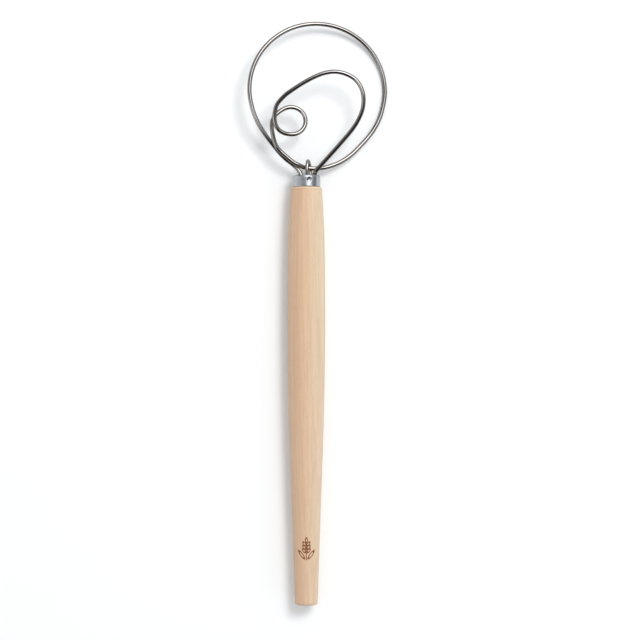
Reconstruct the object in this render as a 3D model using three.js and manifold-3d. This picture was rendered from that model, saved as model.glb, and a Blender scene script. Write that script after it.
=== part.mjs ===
// Danish dough whisk: a turned beech handle, a steel ferrule, and one stainless wire bent into
// an outer ring, a small inner loop and a raised teardrop loop, with a wire staple that hooks
// the ring to the handle.
//
// Every piece is drawn in the tool's own frame, in millimetres: Y runs along the handle towards
// the head with y = 0 at the mouth of the ferrule, X runs across the ring, and Z leaves the
// plane of the ring on the side where the loops stand up. At the end the tool is rolled onto
// its resting side, so that Z is up and the table is at z = 0.

import * as THREE from 'three';
import { mergeVertices } from 'three/addons/utils/BufferGeometryUtils.js';
import Module from 'manifold-3d';

const wasm = await Module();
wasm.setup();

// Clearance left between pieces that touch on the real tool.
const GAP = 0.3;

// Whisk wire and staple wire.
const WIRE_RADIUS = 1.25;
const STAPLE_RADIUS = 1.05;
const WIRE_SIDES = 12;
const WIRE_STEPS = 300;
const STAPLE_STEPS = 56;
const TANG_STEPS = 24;

// Handle.
const LATHE_SEGMENTS = 48;
const BUTT_Y = -249.85;
const BUTT_RADIUS = 6.72;
const BUTT_ROUND = 1.5;
const BELLY_RADIUS = 11;
const SHOULDER_CHAMFER = 0.8;
const NECK_CHAMFER = 0.4;
const PROFILE_STEP = 7;
const CORNER_STEPS = 4;

// Ferrule: a short drawn cup pressed over the neck of the handle.
const FERRULE_HEIGHT = 6.6;
const FERRULE_RADIUS = 8.05;
const FERRULE_WALL = 0.5;
const FERRULE_MOUTH_RADIUS = 6.9;
const FERRULE_ROUND = 1.1;
const DIMPLE_Y = -3;
const DIMPLE_DEPTH = 0.65;
const DIMPLE_RADIUS = 2.3;
const BALL_SIDES = 24;
const BALL_RINGS = 16;

// How far a cutter runs past the face it opens, and how close vertices are welded.
const CUT_PAST = 1;
const WELD_DISTANCE = 1e-4;

// Neck of the handle and the blind bore in it.
const NECK_RADIUS = FERRULE_RADIUS - FERRULE_WALL - GAP;
const NECK_END_Y = -FERRULE_WALL - GAP;
const BORE_RADIUS = 5.5;
const BORE_MOUTH_RADIUS = 6.75;
const BORE_TAPER_END_Y = -4.8;
const BORE_END_Y = -37;
const DRILL_TIP_LENGTH = 3.3;

// Free part of the outer ring: an arc of an ellipse that is nearly a circle.
const RING_X = 6.6;
const RING_Y = 49.6;
const RING_HALF_WIDTH = 40.3;
const RING_HALF_LENGTH = 38.7;
const RING_START = THREE.MathUtils.degToRad(197);
const RING_END = THREE.MathUtils.degToRad(-17);
const RING_POINTS = 15;

// Small loop: a coil that climbs by more than the wire's thickness in one turn.
const COIL_X = -9.7;
const COIL_Y = 31.3;
const COIL_HALF_WIDTH = 8.4;
const COIL_HALF_LENGTH = 7.95;
const COIL_START = THREE.MathUtils.degToRad(112);
const COIL_END = THREE.MathUtils.degToRad(-98);
const COIL_START_Z = 2.9;
const COIL_END_Z = 4.5;
const COIL_POINTS = 8;

// The tool lies rolled about the handle until the edge of the ring meets the table.
const BELLY_HEIGHT = BELLY_RADIUS * Math.cos(Math.PI / LATHE_SEGMENTS);
const ROLL = Math.asin((BELLY_HEIGHT - WIRE_RADIUS) / (RING_X + RING_HALF_WIDTH));

// Radius of the handle along its length, from the shoulder to the butt.
const HANDLE_GIRTHS = [
  [-6.9, 8.98],
  [-14.3, 9.46],
  [-23, 9.98],
  [-34, 10.42],
  [-49.2, 10.74],
  [-62, 10.9],
  [-71, BELLY_RADIUS],
  [-77, BELLY_RADIUS],
  [-84, BELLY_RADIUS],
  [-90, BELLY_RADIUS],
  [-104, 10.87],
  [-116, 10.7],
  [-130, 10.46],
  [-154, 9.81],
  [-189, 8.56],
  [-224, 7.4],
  [BUTT_Y + BUTT_ROUND, BUTT_RADIUS],
];

// The wire from its left end in the handle to the start of the ring.
const LEFT_TANG = [
  [-2.6, -35, -0.2],
  [-2.6, -24, -0.2],
  [-2.6, -13, -0.2],
  [-2.65, -5, -0.25],
  [-3, -0.3, -0.35],
  [-4.55, 3.1, -0.95],
  [-8.05, 6.5, -1.45],
];
const LEFT_RISE = [
  [-11.45, 9, -1.45],
  [-14.95, 12.25, -1.4],
  [-18.9, 16.75, -1.1],
  [-24.3, 23.4, -0.4],
  [-28.8, 30.4, -0.1],
];

// The ring's lower right side and its bottom, in front of the ferrule.
const RING_BOTTOM = [
  [42.7, 31.6, 0],
  [38.5, 24.8, 0],
  [33.1, 18.6, 0],
  [26.9, 12.5, 0],
  [19.8, 7.8, 0],
  [12, 4.9, 0],
  [4.5, 4.05, 0],
];

// From the bottom of the ring across the left rise and up to the small loop.
const LEFT_CROSSING = [
  [-1.65, 4.65, 0.35],
  [-4.5, 5.7, 1.3],
  [-8.3, 7.6, 1.5],
  [-11.8, 10.4, 1.5],
  [-15.75, 13.75, 1.55],
  [-17.9, 16.15, 1.75],
  [-19.45, 19.65, 2],
  [-20.5, 23.85, 2.3],
  [-21, 28, 2.5],
  [-20.5, 31.7, 2.6],
  [-18.5, 34.9, 2.7],
];

// Over the start of the small loop, then round the raised teardrop.
const TEARDROP = [
  [-14.7, 24.2, 4.95],
  [-17.5, 26, 5.2],
  [-19.4, 29, 5.5],
  [-20.15, 33, 5.9],
  [-19.8, 36.8, 6.4],
  [-18.7, 40.4, 7],
  [-14.4, 45.5, 8.4],
  [-9.3, 49.3, 9.9],
  [-4.1, 52.7, 11.2],
  [1.5, 55.8, 12.5],
  [7.8, 58.3, 13.8],
  [14.4, 59.1, 15],
  [20.9, 57.5, 16],
  [25.8, 54.3, 16.7],
  [28.9, 49.6, 17.1],
  [30.2, 44, 17],
  [29.9, 37.9, 16],
  [28, 32.2, 14.4],
  [25.1, 27, 12.6],
  [17.6, 17.4, 8.9],
  [12.4, 11.2, 6.3],
];

// The wire's right end, from above the ring down into the handle.
const RIGHT_TANG = [
  [6.7, 4.4, 3.3],
  [4.95, 2, 2.3],
  [4.2, -1, 1.1],
  [3.5, -4, 0.8],
  [3.05, -8, 0.8],
  [3, -16, 0.8],
  [3, -25, 0.8],
  [3, -35, 0.8],
];

// The staple: front leg, bend over the bottom of the ring, rear leg.
const STAPLE_FRONT_LEG = [
  [-0.2, -35, 2.7],
  [-0.2, -22, 2.7],
  [-0.25, -10, 2.7],
  [-0.4, -1, 2.7],
  [-0.3, 4.1, 2.9],
];
const STAPLE_BEND = [
  [0.1, 6.8, 2.25],
  [0.9, 8.3, 0],
  [2, 6.8, -2.1],
];
const STAPLE_REAR_LEG = [
  [2.7, 4.1, -2.8],
  [3.1, -1, -2.5],
  [2.3, -6, -2.7],
  [1.2, -13, -2.8],
  [1, -24, -2.8],
  [1, -35, -2.8],
];

// Materials: one function for each finish.

function beech() {
  return new THREE.MeshStandardMaterial({ color: 0xdcbd99, roughness: 0.6, metalness: 0 });
}

function zincSteel() {
  return new THREE.MeshStandardMaterial({ color: 0x9aa4ae, roughness: 0.35, metalness: 1 });
}

function stainlessWire() {
  return new THREE.MeshStandardMaterial({ color: 0xc3c5c7, roughness: 0.25, metalness: 1 });
}

function amberResin() {
  return new THREE.MeshStandardMaterial({ color: 0xb08a4a, roughness: 0.4, metalness: 0 });
}

// Geometry helpers.

function toVector([x, y, z]) {
  return new THREE.Vector3(x, y, z);
}

function curveThrough(points) {
  return new THREE.CatmullRomCurve3(points.map(toVector), false, 'centripetal');
}

// A round wire of the given radius along a curve.
function wireAlong(curve, radius, steps) {
  const section = new THREE.Shape();
  section.absarc(0, 0, radius, 0, 2 * Math.PI, false);
  return new THREE.ExtrudeGeometry(section, {
    steps,
    curveSegments: WIRE_SIDES / 2,
    bevelEnabled: false,
    extrudePath: curve,
  });
}

// A solid of revolution about the handle's axis, turned so that a flat facet faces down.
function turned(profile) {
  const geometry = new THREE.LatheGeometry(profile, LATHE_SEGMENTS);
  geometry.rotateY(Math.PI / LATHE_SEGMENTS + ROLL);
  return geometry;
}

function point(x, y) {
  return new THREE.Vector2(x, y);
}

// Points along a quarter circle, from one angle to the other.
function roundedCorner(centreX, centreY, radius, fromAngle, toAngle, count) {
  const points = [];
  for (let i = 0; i <= count; i += 1) {
    const angle = fromAngle + ((toAngle - fromAngle) * i) / count;
    points.push(point(centreX + radius * Math.cos(angle), centreY + radius * Math.sin(angle)));
  }
  return points;
}

function toSolid(geometry) {
  const bare = geometry.clone();
  bare.deleteAttribute('normal');
  bare.deleteAttribute('uv');
  const merged = mergeVertices(bare, WELD_DISTANCE);
  const mesh = new wasm.Mesh({
    numProp: 3,
    vertProperties: new Float32Array(merged.attributes.position.array),
    triVerts: new Uint32Array(merged.index.array),
  });
  return new wasm.Manifold(mesh);
}

function toGeometry(solid) {
  const mesh = solid.getMesh();
  const geometry = new THREE.BufferGeometry();
  geometry.setAttribute('position', new THREE.BufferAttribute(mesh.vertProperties, 3));
  geometry.setIndex(new THREE.BufferAttribute(mesh.triVerts, 1));
  geometry.computeVertexNormals();
  return geometry;
}

function ball(radius, centre) {
  const geometry = new THREE.SphereGeometry(radius, BALL_SIDES, BALL_RINGS);
  geometry.translate(centre.x, centre.y, centre.z);
  return toSolid(geometry);
}

function piece(name, geometry, material) {
  const mesh = new THREE.Mesh(geometry, material);
  mesh.name = name;
  return mesh;
}

// Wire paths.

function ringPoints() {
  const points = [];
  for (let i = 0; i < RING_POINTS; i += 1) {
    const angle = RING_START + ((RING_END - RING_START) * i) / (RING_POINTS - 1);
    const x = RING_X + RING_HALF_WIDTH * Math.cos(angle);
    const y = RING_Y + RING_HALF_LENGTH * Math.sin(angle);
    points.push([x, y, 0]);
  }
  return points;
}

function coilPoints() {
  const points = [];
  for (let i = 0; i < COIL_POINTS; i += 1) {
    const share = i / (COIL_POINTS - 1);
    const angle = COIL_START + (COIL_END - COIL_START) * share;
    const height = COIL_START_Z + (COIL_END_Z - COIL_START_Z) * share;
    const x = COIL_X + COIL_HALF_WIDTH * Math.cos(angle);
    const y = COIL_Y + COIL_HALF_LENGTH * Math.sin(angle);
    points.push([x, y, height]);
  }
  return points;
}

function whiskPath() {
  return [
    ...LEFT_TANG,
    ...LEFT_RISE,
    ...ringPoints(),
    ...RING_BOTTOM,
    ...LEFT_CROSSING,
    ...coilPoints(),
    ...TEARDROP,
    ...RIGHT_TANG,
  ];
}

function staplePath() {
  return [...STAPLE_FRONT_LEG, ...STAPLE_BEND, ...STAPLE_REAR_LEG];
}

// The pieces.

function whiskWire() {
  const geometry = wireAlong(curveThrough(whiskPath()), WIRE_RADIUS, WIRE_STEPS);
  return piece('whisk_wire', geometry, stainlessWire());
}

function retainingStaple() {
  const geometry = wireAlong(curveThrough(staplePath()), STAPLE_RADIUS, STAPLE_STEPS);
  return piece('retaining_staple', geometry, stainlessWire());
}

// The centre of the ball whose cap is the staking dimple.
function dimpleCentre() {
  const distance = FERRULE_RADIUS - DIMPLE_DEPTH + DIMPLE_RADIUS;
  return new THREE.Vector3(0, DIMPLE_Y, distance);
}

function ferrule() {
  const outerCorner = [FERRULE_RADIUS - FERRULE_ROUND, -FERRULE_ROUND];
  const innerRadius = FERRULE_RADIUS - FERRULE_WALL;
  const innerRound = FERRULE_ROUND - FERRULE_WALL;
  const envelope = toSolid(turned([
    point(0, -FERRULE_HEIGHT),
    point(FERRULE_RADIUS, -FERRULE_HEIGHT),
    ...roundedCorner(...outerCorner, FERRULE_ROUND, 0, Math.PI / 2, CORNER_STEPS + 1),
    point(0, 0),
  ]));
  const cavity = toSolid(turned([
    point(0, -FERRULE_HEIGHT - CUT_PAST),
    point(innerRadius, -FERRULE_HEIGHT - CUT_PAST),
    ...roundedCorner(...outerCorner, innerRound, 0, Math.PI / 2, CORNER_STEPS),
    point(0, -FERRULE_WALL),
  ]));
  const mouth = toSolid(turned([
    point(0, -FERRULE_HEIGHT),
    point(FERRULE_MOUTH_RADIUS, -FERRULE_HEIGHT),
    point(FERRULE_MOUTH_RADIUS, CUT_PAST),
    point(0, CUT_PAST),
  ]));
  const dent = ball(DIMPLE_RADIUS, dimpleCentre());
  const dentBack = ball(DIMPLE_RADIUS + FERRULE_WALL, dimpleCentre());
  const hollow = cavity.add(mouth).subtract(dentBack);
  return piece('ferrule', toGeometry(envelope.subtract(hollow).subtract(dent)), zincSteel());
}

// Outline of the handle from the centre of the butt to just short of the shoulder.
function gripOutline() {
  const curve = new THREE.SplineCurve(HANDLE_GIRTHS.map(([y, radius]) => point(radius, y)));
  const count = Math.round(-BUTT_Y / PROFILE_STEP);
  const buttCentre = [BUTT_RADIUS - BUTT_ROUND, BUTT_Y + BUTT_ROUND];
  return [
    point(0, BUTT_Y),
    ...roundedCorner(...buttCentre, BUTT_ROUND, -Math.PI / 2, 0, CORNER_STEPS),
    ...curve.getSpacedPoints(count).reverse().slice(1, -1),
  ];
}

function handle() {
  const [shoulderY, shoulderRadius] = HANDLE_GIRTHS[0];
  const body = toSolid(turned([
    ...gripOutline(),
    point(shoulderRadius, shoulderY - SHOULDER_CHAMFER),
    point(shoulderRadius - SHOULDER_CHAMFER, shoulderY),
    point(NECK_RADIUS, shoulderY),
    point(NECK_RADIUS, NECK_END_Y - NECK_CHAMFER),
    point(NECK_RADIUS - NECK_CHAMFER, NECK_END_Y),
    point(BORE_MOUTH_RADIUS, NECK_END_Y),
    point(BORE_RADIUS, BORE_TAPER_END_Y),
    point(BORE_RADIUS, BORE_END_Y),
    point(0, BORE_END_Y - DRILL_TIP_LENGTH),
  ]));
  const clearance = ball(DIMPLE_RADIUS + FERRULE_WALL + GAP, dimpleCentre());
  return piece('handle', toGeometry(body.subtract(clearance)), beech());
}

// The adhesive that fills the bore round the four wire ends.
function adhesivePlug() {
  const body = toSolid(turned([
    point(0, BORE_END_Y + GAP),
    point(BORE_RADIUS - GAP, BORE_END_Y + GAP),
    point(BORE_RADIUS - GAP, BORE_TAPER_END_Y),
    point(BORE_MOUTH_RADIUS - 1.5 * GAP, NECK_END_Y - GAP),
    point(0, NECK_END_Y - GAP),
  ]));
  const wire = WIRE_RADIUS + GAP;
  const staple = STAPLE_RADIUS + GAP;
  const plug = body
    .subtract(toSolid(wireAlong(curveThrough(LEFT_TANG), wire, TANG_STEPS)))
    .subtract(toSolid(wireAlong(curveThrough(RIGHT_TANG), wire, TANG_STEPS)))
    .subtract(toSolid(wireAlong(curveThrough(STAPLE_FRONT_LEG), staple, TANG_STEPS)))
    .subtract(toSolid(wireAlong(curveThrough(STAPLE_REAR_LEG), staple, TANG_STEPS)));
  return piece('adhesive_plug', toGeometry(plug), amberResin());
}

// Lays the tool on its resting side, centred over the origin with its lowest point at z = 0.
function layDown(tool) {
  tool.rotation.y = ROLL;
  tool.updateMatrixWorld(true);
  const group = new THREE.Group();
  group.name = 'dough_whisk';
  for (const mesh of [...tool.children]) {
    mesh.geometry.applyMatrix4(mesh.matrixWorld);
    group.add(mesh);
  }
  const box = new THREE.Box3().setFromObject(group);
  const centre = box.getCenter(new THREE.Vector3());
  for (const mesh of group.children) {
    mesh.geometry.translate(-centre.x, -centre.y, -box.min.z);
  }
  return group;
}

const tool = new THREE.Group();
tool.add(handle());
tool.add(ferrule());
tool.add(adhesivePlug());
tool.add(retainingStaple());
tool.add(whiskWire());

const group = layDown(tool);

export default group;
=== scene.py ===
"""Danish dough whisk: the looks of its handle, ferrule, glue, staple and wire.

Each piece is built in the tool's own frame, in millimetres: Y runs along the handle towards the head with
y = 0 at the mouth of the ferrule, X runs across the ring, and Z leaves the plane of the ring on the side of
the raised loops. The tool lies rolled about its handle, so every vertex is rolled and shifted into the
part's frame as its mesh is made.
"""

import math

import bpy
from mathutils import Matrix, Vector


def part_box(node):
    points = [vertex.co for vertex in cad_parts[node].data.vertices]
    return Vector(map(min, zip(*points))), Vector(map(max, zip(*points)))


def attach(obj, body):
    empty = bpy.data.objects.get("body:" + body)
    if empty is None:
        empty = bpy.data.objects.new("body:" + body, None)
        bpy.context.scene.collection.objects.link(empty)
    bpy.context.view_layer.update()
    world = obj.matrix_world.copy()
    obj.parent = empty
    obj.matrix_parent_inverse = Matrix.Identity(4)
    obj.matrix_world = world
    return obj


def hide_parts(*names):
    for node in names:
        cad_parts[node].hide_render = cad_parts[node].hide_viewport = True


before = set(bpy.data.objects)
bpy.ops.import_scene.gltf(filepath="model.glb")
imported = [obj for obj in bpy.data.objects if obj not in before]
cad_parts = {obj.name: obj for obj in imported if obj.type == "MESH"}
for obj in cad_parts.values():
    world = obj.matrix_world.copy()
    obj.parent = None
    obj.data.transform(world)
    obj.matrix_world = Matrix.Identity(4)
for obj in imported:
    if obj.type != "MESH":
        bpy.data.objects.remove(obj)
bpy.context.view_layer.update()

MM = 0.001
TAU = 2 * math.pi

# Dimensions of the real tool, in millimetres, the same as in the CAD.
WIRE_RADIUS = 1.25
STAPLE_RADIUS = 1.05
LATHE_SEGMENTS = 48
BUTT_Y = -249.85
BUTT_RADIUS = 6.72
BUTT_ROUND = 1.5
BELLY_RADIUS = 11.0
SHOULDER_CHAMFER = 0.8
FERRULE_HEIGHT = 6.6
FERRULE_RADIUS = 8.05
FERRULE_WALL = 0.5
FERRULE_MOUTH_RADIUS = 6.9
FERRULE_ROUND = 1.1
DIMPLE_Y = -3.0
DIMPLE_DEPTH = 0.65
DIMPLE_RADIUS = 2.3
GAP = 0.3
NECK_RADIUS = FERRULE_RADIUS - FERRULE_WALL - GAP
NECK_END_Y = -FERRULE_WALL - GAP
BORE_RADIUS = 5.5
BORE_MOUTH_RADIUS = 6.75
BORE_TAPER_END_Y = -4.8
BORE_END_Y = -37.0
DRILL_TIP_LENGTH = 3.3
RING_CENTRE = (6.6, 49.6)
RING_HALF = (40.3, 38.7)
RING_ARC = (197.0, -17.0, 15)
COIL_CENTRE = (-9.7, 31.3)
COIL_HALF = (8.4, 7.95)
COIL_ARC = (112.0, -98.0, 8)
COIL_Z = (2.9, 4.5)
BELLY_HEIGHT = BELLY_RADIUS * math.cos(math.pi / LATHE_SEGMENTS)
ROLL = math.asin((BELLY_HEIGHT - WIRE_RADIUS) / (RING_CENTRE[0] + RING_HALF[0]))

# How far the middle of the tree lies from the handle's axis, to the left and below, in millimetres.
PITH_X = 21.0
PITH_Z = 34.0

# How finely the pieces are meshed, and the small roundings that the CAD leaves out, in millimetres.
WIRE_SIDES = 24
WIRE_SPACING = 0.6
STAPLE_SIDES = 20
STAPLE_SPACING = 0.35
WIRE_TIP_BEVEL = 0.2
FERRULE_SEGMENTS = 240
FERRULE_STEP = 0.2
FERRULE_RIM_ROUND = 0.14
FERRULE_MOUTH_ROUND = 0.05
HANDLE_SEGMENTS = 128
HANDLE_STEP = 1.3
NECK_STEP = 0.25
NECK_END_CHAMFER = 0.3
SHOULDER_EASE = 0.12
SANDING_DEPTH = 0.02

# The burned mark on the upper side of the handle.
MARK_Y = -217.2
GRAIN_PAIRS = 3
GRAIN_SPACING = 2.0
GRAIN_HALF = (0.62, 1.25)
GRAIN_TILT = -0.6
LEAF_HALF = (0.75, 2.55)
LEAF_TILT = -0.62
STEM_HALF_LENGTH = 4.9

# Stage, in metres. The lens, the sensor and the aim from the ferrule's mouth are in millimetres.
FLOOR_HALF = 6.0
KEY_DIRECTION = (0.37, 0.44, 1.0)
KEY_DISTANCE = 1.9
KEY_SIDE = 0.62
KEY_POWER = 17.5
KEY_COLOUR = (1.0, 0.99, 0.975)
CAMERA_LENS = 135
CAMERA_SENSOR = 36
CAMERA_HEIGHT = 1.397
CAMERA_AIM = (7.9, -84.2, 0)

# (y, radius) of the handle from the shoulder to the butt.
HANDLE_GIRTHS = [
    (-6.9, 8.98), (-14.3, 9.46), (-23, 9.98), (-34, 10.42), (-49.2, 10.74), (-62, 10.9),
    (-71, 11.0), (-77, 11.0), (-84, 11.0), (-90, 11.0), (-104, 10.87), (-116, 10.7),
    (-130, 10.46), (-154, 9.81), (-189, 8.56), (-224, 7.4), (BUTT_Y + BUTT_ROUND, BUTT_RADIUS),
]

# The wire's bends, in the order in which it is bent.
LEFT_TANG = [
    (-2.6, -35, -0.2), (-2.6, -24, -0.2), (-2.6, -13, -0.2), (-2.65, -5, -0.25),
    (-3, -0.3, -0.35), (-4.55, 3.1, -0.95), (-8.05, 6.5, -1.45),
]
LEFT_RISE = [
    (-11.45, 9, -1.45), (-14.95, 12.25, -1.4), (-18.9, 16.75, -1.1), (-24.3, 23.4, -0.4),
    (-28.8, 30.4, -0.1),
]
RING_BOTTOM = [
    (42.7, 31.6, 0), (38.5, 24.8, 0), (33.1, 18.6, 0), (26.9, 12.5, 0), (19.8, 7.8, 0),
    (12, 4.9, 0), (4.5, 4.05, 0),
]
LEFT_CROSSING = [
    (-1.65, 4.65, 0.35), (-4.5, 5.7, 1.3), (-8.3, 7.6, 1.5), (-11.8, 10.4, 1.5), (-15.75, 13.75, 1.55),
    (-17.9, 16.15, 1.75), (-19.45, 19.65, 2), (-20.5, 23.85, 2.3), (-21, 28, 2.5),
    (-20.5, 31.7, 2.6), (-18.5, 34.9, 2.7),
]
TEARDROP = [
    (-14.7, 24.2, 4.95), (-17.5, 26, 5.2), (-19.4, 29, 5.5), (-20.15, 33, 5.9),
    (-19.8, 36.8, 6.4), (-18.7, 40.4, 7), (-14.4, 45.5, 8.4), (-9.3, 49.3, 9.9),
    (-4.1, 52.7, 11.2), (1.5, 55.8, 12.5), (7.8, 58.3, 13.8), (14.4, 59.1, 15),
    (20.9, 57.5, 16), (25.8, 54.3, 16.7), (28.9, 49.6, 17.1), (30.2, 44, 17),
    (29.9, 37.9, 16), (28, 32.2, 14.4), (25.1, 27, 12.6), (17.6, 17.4, 8.9),
    (12.4, 11.2, 6.3),
]
RIGHT_TANG = [
    (6.7, 4.4, 3.3), (4.95, 2, 2.3), (4.2, -1, 1.1), (3.5, -4, 0.8), (3.05, -8, 0.8),
    (3, -16, 0.8), (3, -25, 0.8), (3, -35, 0.8),
]
STAPLE_POINTS = [
    (-0.2, -35, 2.7), (-0.2, -22, 2.7), (-0.25, -10, 2.7), (-0.4, -1, 2.7), (-0.3, 4.1, 2.9),
    (0.1, 6.8, 2.25), (0.9, 8.3, 0), (2, 6.8, -2.1),
    (2.7, 4.1, -2.8), (3.1, -1, -2.5), (2.3, -6, -2.7), (1.2, -13, -2.8), (1, -24, -2.8),
    (1, -35, -2.8),
]


# ---------------------------------------------------------------- placing

def tool_matrix():
    """Where the tool's own frame sits in the part's frame, read from the CAD boxes."""
    low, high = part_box("handle")
    mouth_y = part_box("ferrule")[1].y
    origin = Vector(((low.x + high.x) / 2, mouth_y, (low.z + high.z) / 2))
    return Matrix.Translation(origin) @ Matrix.Rotation(ROLL, 4, "Y")


TOOL = tool_matrix()


def add_mesh(name, verts, faces, material, node):
    """A smooth mesh, given in the tool's frame, that stands for a CAD node."""
    mesh = bpy.data.meshes.new(name)
    mesh.from_pydata([TOOL @ (Vector(v) * MM) for v in verts], [], faces)
    mesh.validate()
    mesh.polygons.foreach_set("use_smooth", [True] * len(mesh.polygons))
    mesh.materials.append(material)
    obj = bpy.data.objects.new(name, mesh)
    bpy.context.scene.collection.objects.link(obj)
    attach(obj, "root")
    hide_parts(node)
    return obj


# ---------------------------------------------------------------- curves and surfaces

def centripetal(points, spacing):
    """Points every `spacing` mm along the centripetal Catmull-Rom curve through the given ones."""
    pts = [Vector(p) for p in points]
    first = pts[0] * 2 - pts[1]
    last = pts[-1] * 2 - pts[-2]
    pts = [first, *pts, last]
    dense = []
    for i in range(1, len(pts) - 2):
        p0, p1, p2, p3 = pts[i - 1:i + 3]
        d1, d2, d3 = ((b - a).length ** 0.5 for a, b in ((p0, p1), (p1, p2), (p2, p3)))
        t1 = (p1 - p0) / d1 - (p2 - p0) / (d1 + d2) + (p2 - p1) / d2
        t2 = (p2 - p1) / d2 - (p3 - p1) / (d2 + d3) + (p3 - p2) / d3
        t1 *= d2
        t2 *= d2
        steps = max(8, int((p2 - p1).length / 0.1))
        for k in range(steps):
            t = k / steps
            c2 = -3 * p1 + 3 * p2 - 2 * t1 - t2
            c3 = 2 * p1 - 2 * p2 + t1 + t2
            dense.append(p1 + t1 * t + c2 * t * t + c3 * t ** 3)
    dense.append(pts[-2])
    lengths = [0.0]
    for a, b in zip(dense, dense[1:]):
        lengths.append(lengths[-1] + (b - a).length)
    count = max(2, round(lengths[-1] / spacing))
    even, j = [], 0
    for i in range(count + 1):
        target = lengths[-1] * i / count
        while j < len(lengths) - 2 and lengths[j + 1] < target:
            j += 1
        span = lengths[j + 1] - lengths[j]
        even.append(dense[j].lerp(dense[j + 1], (target - lengths[j]) / span))
    return even


def swept_wire(points, radius, sides, spacing, tip):
    """Vertices, faces and (along, around) coordinates of a round wire whose ends have a small bevel."""
    path = centripetal(points, spacing)
    tangents = []
    for i in range(len(path)):
        before, after = path[max(i - 1, 0)], path[min(i + 1, len(path) - 1)]
        tangents.append((after - before).normalized())
    normal = tangents[0].orthogonal().normalized()
    verts, faces, coords = [], [], []

    def ring(centre, tangent, normal, r, along):
        side = tangent.cross(normal)
        for k in range(sides):
            a = TAU * k / sides
            verts.append(centre + normal * (r * math.cos(a)) + side * (r * math.sin(a)))
            coords.append((along, k / sides))

    along = 0.0
    ring(path[0], tangents[0], normal, radius - tip, along)
    ring(path[0] + tangents[0] * tip, tangents[0], normal, radius, along)
    for i in range(1, len(path) - 1):
        along += (path[i] - path[i - 1]).length
        turn = tangents[i - 1].rotation_difference(tangents[i])
        normal = (turn @ normal).normalized()
        ring(path[i], tangents[i], normal, radius, along)
    ring(path[-1] - tangents[-1] * tip, tangents[-1], normal, radius, along)
    ring(path[-1], tangents[-1], normal, radius - tip, along)
    rings = len(verts) // sides
    for i in range(rings - 1):
        for k in range(sides):
            n = (k + 1) % sides
            faces.append((i * sides + k, i * sides + n, (i + 1) * sides + n, (i + 1) * sides + k))
    faces.append(tuple(reversed(range(sides))))
    faces.append(tuple(range((rings - 1) * sides, rings * sides)))
    return verts, faces, coords


def steps(start, end, step):
    """Values from start up to, but not past, end."""
    return [start + step * i for i in range(int((end - start) / step) + 1)]


def girth_at(y):
    """Radius of the handle at y, on a smooth curve through the girths, each slope from its neighbours."""
    pts = HANDLE_GIRTHS
    i = 0
    while i < len(pts) - 2 and y < pts[i + 1][0]:
        i += 1
    p0, p1 = pts[max(i - 1, 0)], pts[i]
    p2, p3 = pts[i + 1], pts[min(i + 2, len(pts) - 1)]
    t = (y - p1[0]) / (p2[0] - p1[0])
    m1 = (p2[1] - p0[1]) / (p2[0] - p0[0]) * (p2[0] - p1[0])
    m2 = (p3[1] - p1[1]) / (p3[0] - p1[0]) * (p2[0] - p1[0])
    h1, h2 = 2 * t ** 3 - 3 * t * t + 1, t ** 3 - 2 * t * t + t
    h3, h4 = -2 * t ** 3 + 3 * t * t, t ** 3 - t * t
    return min(h1 * p1[1] + h2 * m1 + h3 * p2[1] + h4 * m2, BELLY_RADIUS)


def arc(cx, cy, radius, start, end, count):
    """(radius, y) points along an arc, angles in degrees."""
    out = []
    for i in range(count + 1):
        a = math.radians(start + (end - start) * i / count)
        out.append((cx + radius * math.cos(a), cy + radius * math.sin(a)))
    return out


def revolved(profile, segments, shape=None):
    """A surface of revolution about Y. The profile's points are (radius, y); shape moves a point."""
    verts, faces, rows = [], [], []
    for radius, y in profile:
        if radius < 1e-6:
            rows.append([len(verts)])
            verts.append(Vector((0, y, 0)))
            continue
        rows.append(list(range(len(verts), len(verts) + segments)))
        for k in range(segments):
            a = TAU * k / segments
            r = shape(radius, y, a) if shape else radius
            verts.append(Vector((r * math.sin(a), y, r * math.cos(a))))
    for low, high in zip(rows, rows[1:]):
        for k in range(segments):
            n = (k + 1) % segments
            if len(low) == 1:
                faces.append((low[0], high[n], high[k]))
            elif len(high) == 1:
                faces.append((low[k], low[n], high[0]))
            else:
                faces.append((low[k], low[n], high[n], high[k]))
    return verts, faces


def closed_revolved(profile, segments, shape=None):
    """The same for a profile that closes on itself off the axis."""
    verts, faces = revolved(profile, segments, shape)
    last = (len(profile) - 1) * segments
    for k in range(segments):
        n = (k + 1) % segments
        faces.append((last + k, last + n, n, k))
    return verts, faces


# ---------------------------------------------------------------- node helpers

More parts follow.
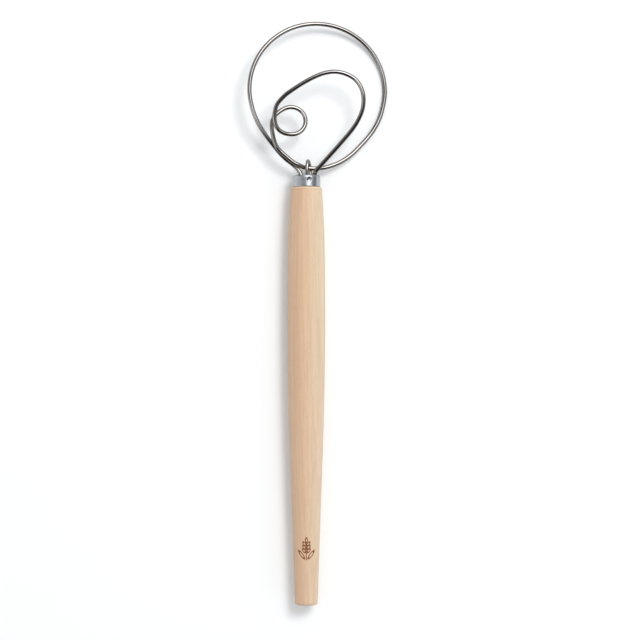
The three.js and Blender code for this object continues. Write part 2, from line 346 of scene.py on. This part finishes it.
class Nodes:
    """Short calls for building a node tree."""

    def __init__(self, tree):
        self.tree = tree
        tree.nodes.clear()

    def put(self, socket, value):
        """Feeds a socket from another one, or sets it to a value. A colour is given as three numbers."""
        if isinstance(value, bpy.types.NodeSocket):
            self.tree.links.new(value, socket)
        elif socket.type == "RGBA":
            socket.default_value = (*value, 1)
        else:
            socket.default_value = value

    def node(self, kind, **settings):
        made = self.tree.nodes.new(kind)
        for key, value in settings.items():
            setattr(made, key, value)
        return made

    def math(self, operation, a, b=None):
        made = self.node("ShaderNodeMath", operation=operation)
        self.put(made.inputs[0], a)
        if b is not None:
            self.put(made.inputs[1], b)
        return made.outputs[0]

    def add(self, a, b):
        return self.math("ADD", a, b)

    def sub(self, a, b):
        return self.math("SUBTRACT", a, b)

    def mul(self, a, b):
        return self.math("MULTIPLY", a, b)

    def size(self, a):
        return self.math("ABSOLUTE", a)

    def distance(self, a, b):
        """How far the point (a, b) is from (0, 0)."""
        return self.math("SQRT", self.add(self.mul(a, a), self.mul(b, b)))

    def between(self, value, low, high, to_low=0.0, to_high=1.0):
        """A smooth change from to_low to to_high while the value goes from low to high."""
        made = self.node("ShaderNodeMapRange", interpolation_type="SMOOTHSTEP")
        self.put(made.inputs["Value"], value)
        made.inputs["From Min"].default_value = low
        made.inputs["From Max"].default_value = high
        made.inputs["To Min"].default_value = to_low
        made.inputs["To Max"].default_value = to_high
        return made.outputs[0]


class Graph(Nodes):
    """The nodes of one material."""

    SOCKETS = {
        "colour": "Base Color", "rough": "Roughness", "metal": "Metallic", "normal": "Normal",
        "specular": "Specular IOR Level", "tint": "Specular Tint", "coat": "Coat Weight",
        "coat_rough": "Coat Roughness", "subsurface": "Subsurface Weight",
    }
    # A Mix node has the same socket names for each kind of value, so its colour sockets go by number.
    MIX_COLOUR_INPUTS = (6, 7)
    MIX_COLOUR_OUTPUT = 2

    def __init__(self, name):
        self.material = bpy.data.materials.new(name)
        self.material.use_nodes = True
        super().__init__(self.material.node_tree)
        self.shader = self.node("ShaderNodeBsdfPrincipled")
        output = self.node("ShaderNodeOutputMaterial")
        self.put(output.inputs["Surface"], self.shader.outputs["BSDF"])

    def place(self):
        """The point on the object, in millimetres in the tool's frame."""
        coords = self.node("ShaderNodeTexCoord")
        undo = self.node("ShaderNodeMapping", vector_type="TEXTURE")
        self.put(undo.inputs["Vector"], coords.outputs["Object"])
        undo.inputs["Location"].default_value = TOOL.translation
        undo.inputs["Rotation"].default_value = (0, ROLL, 0)
        undo.inputs["Scale"].default_value = (MM, MM, MM)
        return undo.outputs[0]

    def split(self, vector):
        made = self.node("ShaderNodeSeparateXYZ")
        self.put(made.inputs[0], vector)
        return made.outputs

    def join(self, x, y, z):
        made = self.node("ShaderNodeCombineXYZ")
        for i, value in enumerate((x, y, z)):
            self.put(made.inputs[i], value)
        return made.outputs[0]

    def stretch(self, vector, x, y, z, shift=(0, 0, 0)):
        """The vector scaled along each axis, so that a texture fed by it is stretched, then shifted."""
        made = self.node("ShaderNodeMapping")
        self.put(made.inputs["Vector"], vector)
        made.inputs["Location"].default_value = shift
        made.inputs["Scale"].default_value = (x, y, z)
        return made.outputs[0]

    def noise(self, vector, scale, detail=2.0, roughness=0.5):
        made = self.node("ShaderNodeTexNoise")
        self.put(made.inputs["Vector"], vector)
        made.inputs["Scale"].default_value = scale
        made.inputs["Detail"].default_value = detail
        made.inputs["Roughness"].default_value = roughness
        return made.outputs["Fac"]

    def cells(self, vector, scale):
        """The distance from the nearest of many scattered points, and that point's own random colour."""
        made = self.node("ShaderNodeTexVoronoi")
        self.put(made.inputs["Vector"], vector)
        made.inputs["Scale"].default_value = scale
        return made.outputs["Distance"], made.outputs["Color"]

    def spots(self, vector, scale, edge, channel, chosen):
        """Soft-edged spots at the scattered points whose random colour channel is high enough."""
        distance, colour = self.cells(vector, scale)
        spot = self.between(distance, *edge, 1.0, 0.0)
        return self.mul(spot, self.between(self.split(colour)[channel], *chosen))

    def ramp(self, value, *stops):
        """A colour that follows the value through stops of (position, colour)."""
        made = self.node("ShaderNodeValToRGB")
        self.put(made.inputs[0], value)
        elements = made.color_ramp.elements
        while len(elements) < len(stops):
            elements.new(0.5)
        for element, (position, colour) in zip(elements, stops):
            element.position = position
            element.color = (*colour, 1)
        return made.outputs[0]

    def mix(self, share, a, b):
        """Colour a, turning into colour b as the share goes from 0 to 1."""
        made = self.node("ShaderNodeMix", data_type="RGBA")
        self.put(made.inputs[0], share)
        for index, colour in zip(self.MIX_COLOUR_INPUTS, (a, b)):
            self.put(made.inputs[index], colour)
        return made.outputs[self.MIX_COLOUR_OUTPUT]

    def bump(self, height, distance_mm, strength):
        made = self.node("ShaderNodeBump")
        made.inputs["Strength"].default_value = strength
        made.inputs["Distance"].default_value = distance_mm * MM
        self.put(made.inputs["Height"], height)
        return made.outputs[0]

    def set(self, **values):
        """Feeds or sets the shader's own sockets."""
        for key, value in values.items():
            self.put(self.shader.inputs[self.SOCKETS[key]], value)


# ---------------------------------------------------------------- materials

def ellipse_line(g, x, y, centre, half, tilt):
    """A measure of distance from the outline of a tilted ellipse: 0 on it, and more on either side."""
    c, s = math.cos(tilt), math.sin(tilt)
    dx, dy = g.sub(x, centre[0]), g.sub(y, centre[1])
    u = g.add(g.mul(dx, c / half[0]), g.mul(dy, s / half[0]))
    v = g.add(g.mul(dx, -s / half[1]), g.mul(dy, c / half[1]))
    return g.size(g.sub(g.distance(u, v), 1.0))


def burned_wheat(g, place):
    """A generic burned mark: an ear of wheat with two leaves, seen on the upper side of the handle."""
    x, y, z = g.split(place)
    c, s = math.cos(ROLL), math.sin(ROLL)
    across = g.add(g.mul(x, c), g.mul(z, s))
    up = g.sub(g.mul(z, c), g.mul(x, s))
    along = g.sub(y, MARK_Y)
    side = g.size(across)
    lines = []
    for i in range(GRAIN_PAIRS):
        grain_centre = (1.35 - 0.12 * i, -0.6 + GRAIN_SPACING * i)
        lines.append(g.mul(ellipse_line(g, side, along, grain_centre, GRAIN_HALF, GRAIN_TILT), 0.6))
    lines.append(g.mul(ellipse_line(g, across, along, (0.0, 5.4), (0.62, 1.35), 0.0), 0.6))
    lines.append(g.math("MAXIMUM", side, g.sub(g.size(g.add(along, 1.0)), STEM_HALF_LENGTH)))
    lines.append(g.mul(ellipse_line(g, side, along, (2.7, -3.0), LEAF_HALF, LEAF_TILT), 0.8))
    nearest = lines[0]
    for line in lines[1:]:
        nearest = g.math("MINIMUM", nearest, line)
    nearest = g.add(nearest, g.mul(g.sub(g.noise(place, 3.0), 0.5), 0.16))
    core = g.between(nearest, 0.13, 0.3, 1.0, 0.0)
    halo = g.between(nearest, 0.1, 0.75, 1.0, 0.0)
    facing = g.between(up, 0.5, 2.0)
    return g.mul(core, facing), g.mul(halo, facing)


def growth_rings(g, place):
    """How far a point is into the dark late wood of its growth ring, and how the grain wanders there."""
    x, y, z = g.split(place)
    wander = g.noise(g.stretch(place, 1, 0.05, 1), 0.11, 3.0)
    pith_x = g.add(x, g.add(PITH_X, g.mul(wander, 9.0)))
    from_pith = g.distance(pith_x, g.add(z, PITH_Z))
    phase = g.math("FRACT", g.mul(g.add(from_pith, g.mul(y, 0.012)), 0.42))
    return g.math("POWER", phase, 4.0), wander


def wood_tone_and_painted_sheen(g, place, wander):
    """The wood's tone in broad soft bands, pinkish towards -X; towards +X it is mixed paler, a painted
    sheen.
    """
    broad = g.noise(g.stretch(place, 1, 0.025, 1, (5, 2, 9)), 0.16, 3.0, 0.55)
    pink = g.ramp(broad, (0.3, (0.64, 0.41, 0.26)), (0.5, (0.69, 0.458, 0.296)),
                  (0.72, (0.725, 0.50, 0.33)))
    pale = g.ramp(broad, (0.3, (0.635, 0.475, 0.32)), (0.5, (0.68, 0.53, 0.375)),
                  (0.72, (0.71, 0.57, 0.42)))
    # Painted sheen: towards +X the pinkish tone turns into the paler one, as the light glances off that
    # side.
    sheen_side = g.add(g.split(place)[0], g.mul(wander, 5.0))
    return g.mix(g.between(sheen_side, -4.5, 9.5), pink, pale)


def end_grain(g, place, late):
    """How far a point belongs to the sawn butt, the colour of the butt, and its open pores."""
    x, y, z = g.split(place)
    butt = g.mul(g.between(y, BUTT_Y - 0.2, BUTT_Y + 0.55, 1.0, 0.0),
                 g.between(g.distance(x, z), 4.6, 6.6, 1.0, 0.35))
    pore_distance, _ = g.cells(g.stretch(place, 7.5, 0.2, 7.5), 1.0)
    pores = g.between(pore_distance, 0.12, 0.32, 1.0, 0.0)
    colour = g.mix(g.mul(pores, 0.45), (0.55, 0.345, 0.2), (0.30, 0.16, 0.085))
    return butt, g.mix(g.mul(late, 0.4), colour, (0.36, 0.2, 0.11)), pores


def beech_material():
    """Oiled beech: pale, pinkish, with long faint growth lines, spindle-shaped flecks and fine pores; its
    paler +X side and its shoulder's chamfer carry painted sheen and highlight.
    """
    g = Graph("beech")
    place = g.place()
    y = g.split(place)[1]
    late, wander = growth_rings(g, place)
    streak = g.noise(g.stretch(place, 1, 0.03, 1), 1.3, 4.0, 0.62)
    fibre = g.noise(g.stretch(place, 1, 0.022, 1, (3, 7, 1)), 7.0, 3.0, 0.6)
    fleck = g.spots(g.stretch(place, 1.55, 0.3, 1.55), 1.0, (0.1, 0.26), 0, (0.42, 0.5))
    fine = g.spots(g.stretch(place, 4.2, 0.55, 4.2, (2, 5, 3)), 1.0, (0.1, 0.3), 1, (0.35, 0.5))
    colour = wood_tone_and_painted_sheen(g, place, wander)
    colour = g.mix(g.between(streak, 0.42, 0.72, 0.0, 0.42), colour, (0.58, 0.37, 0.235))
    colour = g.mix(g.mul(late, 0.2), colour, (0.54, 0.33, 0.205))
    colour = g.mix(g.between(fibre, 0.5, 0.78, 0.0, 0.3), colour, (0.82, 0.64, 0.50))
    colour = g.mix(g.mul(fleck, 0.36), colour, (0.50, 0.27, 0.145))
    colour = g.mix(g.mul(fine, 0.2), colour, (0.50, 0.28, 0.15))

    butt, end_colour, pores = end_grain(g, place, late)
    colour = g.mix(butt, colour, end_colour)
    shoulder = HANDLE_GIRTHS[0][0]
    # Painted highlight: the shoulder's chamfer is mixed paler, as it catches the light.
    chamfer_highlight = g.between(y, shoulder - 1.0, shoulder - 0.7)
    colour = g.mix(g.mul(chamfer_highlight, 0.3), colour, (0.80, 0.66, 0.50))
    # A thin darker, more orange line just below the shoulder.
    shoulder_line = g.size(g.sub(y, shoulder - 1.45))
    colour = g.mix(g.between(shoulder_line, 0.1, 0.5, 0.3, 0.0), colour, (0.50, 0.29, 0.15))
    grime = g.noise(g.stretch(place, 1, 0.5, 1), 0.22, 4.0, 0.6)
    colour = g.mix(g.between(grime, 0.55, 0.78, 0.0, 0.16), colour, (0.56, 0.39, 0.26))
    core, halo = burned_wheat(g, place)
    colour = g.mix(g.mul(halo, 0.3), colour, (0.50, 0.24, 0.10))
    colour = g.mix(core, colour, (0.22, 0.066, 0.02))

    rough = g.add(g.between(streak, 0.3, 0.8, 0.5, 0.62), g.mul(fleck, 0.08))
    rough = g.add(rough, g.mul(core, 0.2))
    tool_marks = g.noise(g.stretch(place, 0.05, 1, 0.05), 1.6, 3.0, 0.6)
    relief = g.add(g.mul(fibre, 0.5), g.mul(fleck, -0.5))
    relief = g.add(relief, g.mul(fine, -0.5))
    relief = g.add(relief, g.mul(tool_marks, 0.35))
    relief = g.add(relief, g.mul(core, -2.2))
    relief = g.add(relief, g.mul(g.mul(pores, butt), -0.8))
    g.set(colour=colour, rough=rough, normal=g.bump(relief, 0.06, 0.8))
    g.set(specular=0.5, coat=0.18, coat_rough=0.35)
    return g.material


def ferrule_material():
    """Bright zinc-plated steel, a little blue, with drawing lines round it and fine scratches, and painted
    highlights along its rim and mouth.
    """
    g = Graph("zinc_steel")
    place = g.place()
    x, y, z = g.split(place)
    angle = g.math("ARCTAN2", x, z)
    skin = g.join(g.mul(angle, FERRULE_RADIUS), y, 0.0)
    lines = g.noise(g.stretch(skin, 0.05, 7.0, 1), 1.6, 4.0, 0.6)
    _, spangle = g.cells(g.stretch(skin, 0.9, 0.9, 1), 1.0)
    cloud = g.noise(place, 0.45, 4.0, 0.6)
    scratch = g.noise(g.stretch(skin, 0.5, 16.0, 1, (4, 1, 0)), 1.0, 2.0, 0.5)
    base = g.ramp(cloud, (0.3, (0.53, 0.565, 0.60)), (0.7, (0.68, 0.715, 0.745)))
    base = g.mix(g.mul(g.split(spangle)[0], 0.2), base, (0.68, 0.71, 0.735))
    # Painted highlight: near the rim and the mouth the metal is made lighter, as these edges catch the
    # light.
    edge = g.math("MAXIMUM", g.between(y, -FERRULE_HEIGHT + 0.02, -FERRULE_HEIGHT + 0.35, 1.0, 0.0),
                  g.between(y, -0.3, -0.02))
    base = g.mix(g.mul(edge, 0.45), base, (0.74, 0.75, 0.76))
    rough = g.add(g.between(cloud, 0.3, 0.75, 0.29, 0.37), g.between(scratch, 0.62, 0.8, 0.0, 0.1))
    height = g.add(g.mul(lines, 0.7), g.mul(scratch, 0.5))
    g.set(colour=base, metal=1.0, rough=rough, normal=g.bump(height, 0.015, 0.7))
    return g.material


def wire_material(name, tint, tint_dark):
    """Polished stainless wire: draw lines along it, small scuffs, and a faint variation of tone."""
    g = Graph(name)
    uv = g.node("ShaderNodeUVMap", uv_map="wire").outputs[0]
    along, around, _ = g.split(uv)
    ring = g.mul(around, TAU)
    skin = g.join(g.mul(g.math("COSINE", ring), WIRE_RADIUS),
                  g.mul(g.math("SINE", ring), WIRE_RADIUS), along)
    draw = g.noise(g.stretch(skin, 1, 1, 0.01), 9.0, 4.0, 0.65)
    cloud = g.noise(g.stretch(skin, 1, 1, 0.12), 0.5, 3.0, 0.55)
    scuff = g.spots(g.stretch(skin, 2.4, 2.4, 0.35), 1.0, (0.06, 0.2), 2, (0.72, 0.8))
    colour = g.ramp(cloud, (0.32, tint_dark), (0.68, tint))
    colour = g.mix(g.between(draw, 0.48, 0.75, 0.0, 0.3), colour, tint_dark)
    rough = g.add(g.between(draw, 0.35, 0.75, 0.1, 0.19), g.mul(scuff, 0.18))
    height = g.add(g.mul(draw, 0.6), g.mul(scuff, -1.0))
    g.set(colour=colour, metal=1.0, rough=rough, normal=g.bump(height, 0.01, 0.55), tint=(0.22, 0.2, 0.19))
    return g.material


def resin_material():
    """Cured amber adhesive with small bubbles and a slightly dusty skin."""
    g = Graph("resin")
    place = g.place()
    cloud = g.noise(place, 0.7, 4.0, 0.6)
    bubble = g.spots(place, 1.5, (0.12, 0.3), 0, (0.55, 0.65))
    colour = g.ramp(cloud, (0.3, (0.34, 0.19, 0.065)), (0.7, (0.56, 0.36, 0.15)))
    colour = g.mix(g.mul(bubble, 0.4), colour, (0.74, 0.58, 0.36))
    rough = g.between(cloud, 0.3, 0.7, 0.24, 0.42)
    height = g.add(g.mul(cloud, 0.8), g.mul(bubble, 0.5))
    g.set(colour=colour, rough=rough, normal=g.bump(height, 0.12, 0.6), subsurface=0.15, coat=0.25)
    return g.material


# ---------------------------------------------------------------- pieces

def arc_points(centre, half, spec, heights):
    """Points of a bent wire's arc: spec is (first angle, last angle, how many), in degrees."""
    start, end, count = spec
    out = []
    for i in range(count):
        share = i / (count - 1)
        a = math.radians(start + (end - start) * share)
        z = heights[0] + (heights[1] - heights[0]) * share
        out.append((centre[0] + half[0] * math.cos(a), centre[1] + half[1] * math.sin(a), z))
    return out


def wire_piece(name, points, radius, sides, spacing, material, node):
    """A bent wire whose UV map holds the distance along it and the share of a turn around it."""
    verts, faces, coords = swept_wire(points, radius, sides, spacing, WIRE_TIP_BEVEL)
    obj = add_mesh(name, verts, faces, material, node)
    layer = obj.data.uv_layers.new(name="wire")
    for poly in obj.data.polygons:
        across = [coords[v][1] for v in poly.vertices]
        wraps = max(across) - min(across) > 0.5
        for loop, vertex, share in zip(poly.loop_indices, poly.vertices, across):
            layer.data[loop].uv = (coords[vertex][0], share + 1 if wraps and share < 0.5 else share)


def make_wires():
    """The whisk wire, bent from one length, and the staple that holds down the bottom of its ring."""
    path = [
        *LEFT_TANG, *LEFT_RISE,
        *arc_points(RING_CENTRE, RING_HALF, RING_ARC, (0, 0)),
        *RING_BOTTOM, *LEFT_CROSSING,
        *arc_points(COIL_CENTRE, COIL_HALF, COIL_ARC, COIL_Z),
        *TEARDROP, *RIGHT_TANG,
    ]
    steel = wire_material("stainless_wire", (0.49, 0.465, 0.445), (0.31, 0.285, 0.265))
    soft = wire_material("staple_wire", (0.56, 0.53, 0.50), (0.38, 0.35, 0.325))
    wire_piece("whisk_wire_polished", path, WIRE_RADIUS, WIRE_SIDES, WIRE_SPACING, steel, "whisk_wire")
    wire_piece("staple_polished", STAPLE_POINTS, STAPLE_RADIUS, STAPLE_SIDES, STAPLE_SPACING, soft,
               "retaining_staple")


def pressed_in(radius, y, angle, ball_radius):
    """The radius of a surface once the ball of the staking dimple has pressed into it."""
    centre = FERRULE_RADIUS - DIMPLE_DEPTH + DIMPLE_RADIUS
    room = ball_radius ** 2 - (y - DIMPLE_Y) ** 2 - (centre * math.sin(angle)) ** 2
    if room <= 0 or math.cos(angle) < 0:
        return radius
    return min(radius, centre * math.cos(angle) - math.sqrt(room))


def make_ferrule():
    """A drawn cup, open at the mouth, with rounded lips and the dimple that stakes it to the neck."""
    inner = FERRULE_RADIUS - FERRULE_WALL
    rim_y = -FERRULE_HEIGHT
    bend = FERRULE_RADIUS - FERRULE_ROUND
    lip = FERRULE_MOUTH_RADIUS + FERRULE_MOUTH_ROUND
    wall_ys = steps(rim_y + 0.32, -FERRULE_ROUND - 0.5, FERRULE_STEP)
    profile = [(inner + 0.12, rim_y)]
    profile += arc(FERRULE_RADIUS - FERRULE_RIM_ROUND, rim_y + FERRULE_RIM_ROUND, FERRULE_RIM_ROUND,
                   -90, 0, 3)
    profile += [(FERRULE_RADIUS, y) for y in wall_ys]
    profile += arc(bend, -FERRULE_ROUND, FERRULE_ROUND, 0, 90, 9)
    profile += arc(lip, -FERRULE_MOUTH_ROUND - 0.02, FERRULE_MOUTH_ROUND, 90, 180, 2)
    profile += [(FERRULE_MOUTH_RADIUS, -FERRULE_WALL / 2), (FERRULE_MOUTH_RADIUS, -FERRULE_WALL + 0.06)]
    profile += [(lip, -FERRULE_WALL)]
    profile += arc(bend, -FERRULE_ROUND, FERRULE_ROUND - FERRULE_WALL, 88, 0, 5)
    profile += [(inner, y) for y in reversed(wall_ys)]
    profile += [(inner, rim_y + 0.1)]

    def shape(radius, y, angle):
        outside = radius > inner + 0.2
        return pressed_in(radius, y, angle, DIMPLE_RADIUS + (0 if outside else FERRULE_WALL))

    verts, faces = closed_revolved(profile, FERRULE_SEGMENTS, shape)
    add_mesh("ferrule_bright", verts, faces, ferrule_material(), "ferrule")


def make_handle():
    """The turned handle: flat butt, slightly uneven sanded body, dented neck, and drilled bore."""
    shoulder_y, shoulder_radius = HANDLE_GIRTHS[0]
    chamfer_y = shoulder_y - SHOULDER_CHAMFER
    chamfer_radius = shoulder_radius - SHOULDER_CHAMFER
    body_ys = steps(BUTT_Y + BUTT_ROUND + HANDLE_STEP, chamfer_y - 0.4, HANDLE_STEP)
    profile = [(r, BUTT_Y) for r in (0.0, 1.3, 2.6, 3.9, 4.7)]
    profile += arc(BUTT_RADIUS - BUTT_ROUND, BUTT_Y + BUTT_ROUND, BUTT_ROUND, -90, 0, 9)
    profile += [(girth_at(y), y) for y in body_ys]
    profile += [(shoulder_radius, chamfer_y - SHOULDER_EASE), (shoulder_radius - 0.04, chamfer_y)]
    profile += [(chamfer_radius + 0.1, shoulder_y - 0.1), (chamfer_radius, shoulder_y)]
    profile += [(NECK_RADIUS, shoulder_y)]
    profile += [(NECK_RADIUS, y) for y in steps(shoulder_y + 1.1, NECK_END_Y - 0.4, NECK_STEP)]
    profile += [(NECK_RADIUS - NECK_END_CHAMFER, NECK_END_Y), (BORE_MOUTH_RADIUS, NECK_END_Y)]
    profile += [(BORE_RADIUS, BORE_TAPER_END_Y), (BORE_RADIUS, -20.0), (BORE_RADIUS, BORE_END_Y)]
    profile += [(0.0, BORE_END_Y - DRILL_TIP_LENGTH)]

    def shape(radius, y, angle):
        if y > shoulder_y + 0.5:
            return pressed_in(radius, y, angle, DIMPLE_RADIUS + FERRULE_WALL + GAP)
        if y > shoulder_y - 1 or y < BUTT_Y + 0.1:
            return radius
        waver = 0.018 * math.sin(y * 0.9) + 0.012 * math.sin(2 * angle + y * 0.05)
        return radius - SANDING_DEPTH + waver * 0.6

    verts, faces = revolved(profile, HANDLE_SEGMENTS, shape)
    add_mesh("handle_turned", verts, faces, beech_material(), "handle")


def dress_glue():
    """The adhesive keeps its CAD mesh and takes the resin's look."""
    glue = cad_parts["adhesive_plug"]
    glue.data.materials.clear()
    glue.data.materials.append(resin_material())


make_handle()
make_ferrule()
make_wires()
dress_glue()


# ---------------------------------------------------------------- stage, light and camera

def make_floor():
    """A large matt white sheet, about three quarters as bright in the metal's reflections."""
    g = Graph("floor_white")
    coords = g.node("ShaderNodeTexCoord").outputs["Object"]
    tone = g.ramp(g.noise(coords, 3.0, 2.0), (0.0, (0.93, 0.945, 0.955)), (1.0, (0.95, 0.965, 0.975)))
    glossy = g.node("ShaderNodeLightPath").outputs["Is Glossy Ray"]
    tone = g.mix(g.mul(glossy, 0.5), tone, (0.45, 0.45, 0.455))
    g.set(colour=tone, rough=0.75, specular=0.2)
    mesh = bpy.data.meshes.new("floor")
    corners = [(x * FLOOR_HALF, y * FLOOR_HALF, 0) for x, y in ((-1, -1), (1, -1), (1, 1), (-1, 1))]
    mesh.from_pydata(corners, [], [(0, 1, 2, 3)])
    mesh.materials.append(g.material)
    floor = bpy.data.objects.new("floor", mesh)
    bpy.context.scene.collection.objects.link(floor)


def add_key(target):
    """The one lamp: a square soft box up and to the right, which the metal mirrors as part of the world."""
    light = bpy.data.lights.new("key", "AREA")
    light.shape = "RECTANGLE"
    light.size, light.size_y = KEY_SIDE, KEY_SIDE
    light.energy = KEY_POWER
    light.color = KEY_COLOUR
    obj = bpy.data.objects.new("key", light)
    way = Vector(KEY_DIRECTION).normalized()
    obj.location = target + way * KEY_DISTANCE
    obj.rotation_euler = way.to_track_quat("Z", "Y").to_euler()
    obj.visible_glossy = False
    bpy.context.scene.collection.objects.link(obj)


def make_world():
    """A pale studio. Mirrored, it has bright panels and dark gaps; as fill light, it is nearly even."""
    world = bpy.data.worlds.new("studio")
    bpy.context.scene.world = world
    world.use_nodes = True
    g = Nodes(world.node_tree)
    coords = g.node("ShaderNodeTexCoord").outputs["Generated"]

    def toward(direction, low, high):
        dot = g.node("ShaderNodeVectorMath", operation="DOT_PRODUCT")
        g.put(dot.inputs[0], coords)
        dot.inputs[1].default_value = Vector(direction).normalized()
        return g.between(dot.outputs["Value"], low, high)

    def dimmed(level, patch, share):
        return g.mul(level, g.sub(1.0, g.mul(patch, share)))

    def lifted(level, patch, amount):
        return g.add(level, g.mul(patch, amount))

    near = toward((0.0, -0.75, 0.62), 0.6, 0.86)
    mirrored = lifted(0.16, toward((0.1, 0.72, 0.69), 0.8, 0.97), 1.1)
    mirrored = lifted(mirrored, toward((0.85, 0.0, 0.5), 0.55, 0.95), 0.14)
    mirrored = lifted(mirrored, toward((-1.0, 0.1, 0.15), 0.75, 0.98), 0.5)
    mirrored = dimmed(mirrored, near, 0.95)
    mirrored = dimmed(mirrored, toward((0.0, 1.0, 0.0), 0.9, 0.98), 0.7)
    mirrored = dimmed(mirrored, toward((1.0, -0.1, -0.02), 0.86, 0.97), 0.85)
    mirrored = lifted(mirrored, toward(KEY_DIRECTION, 0.885, 0.985), 3.2)
    mirrored = lifted(mirrored, toward((-0.6, -0.36, 0.72), 0.93, 0.985), 1.5)
    fill = lifted(0.74, toward((0.8, 0.2, 0.5), 0.2, 0.95), 0.22)
    fill = dimmed(fill, near, 0.35)

    path = g.node("ShaderNodeLightPath")
    seen, glossy = path.outputs["Is Camera Ray"], path.outputs["Is Glossy Ray"]
    level = g.add(g.mul(mirrored, glossy), dimmed(fill, glossy, 1.0))
    level = lifted(dimmed(level, seen, 1.0), seen, 0.95)
    background = g.node("ShaderNodeBackground")
    g.put(background.inputs["Color"], (0.97, 0.985, 1.0))
    g.put(background.inputs["Strength"], level)
    output = g.node("ShaderNodeOutputWorld")
    g.put(output.inputs["Surface"], background.outputs[0])


def make_camera(aim):
    """Straight down, and far enough off that the tool looks nearly flat."""
    camera = bpy.data.cameras.new("camera")
    camera.lens = CAMERA_LENS
    camera.sensor_width = CAMERA_SENSOR
    camera.clip_end = 50
    obj = bpy.data.objects.new("camera", camera)
    obj.location = aim + Vector((0, 0, CAMERA_HEIGHT))
    bpy.context.scene.collection.objects.link(obj)
    bpy.context.scene.camera = obj


aim = TOOL.translation + Vector(CAMERA_AIM) * MM
make_floor()
make_camera(aim)
make_world()
add_key(aim)
bpy.context.scene.view_settings.view_transform = "Standard"
bpy.context.scene.view_settings.look = "None"
bpy.context.scene.view_settings.exposure = 0.0
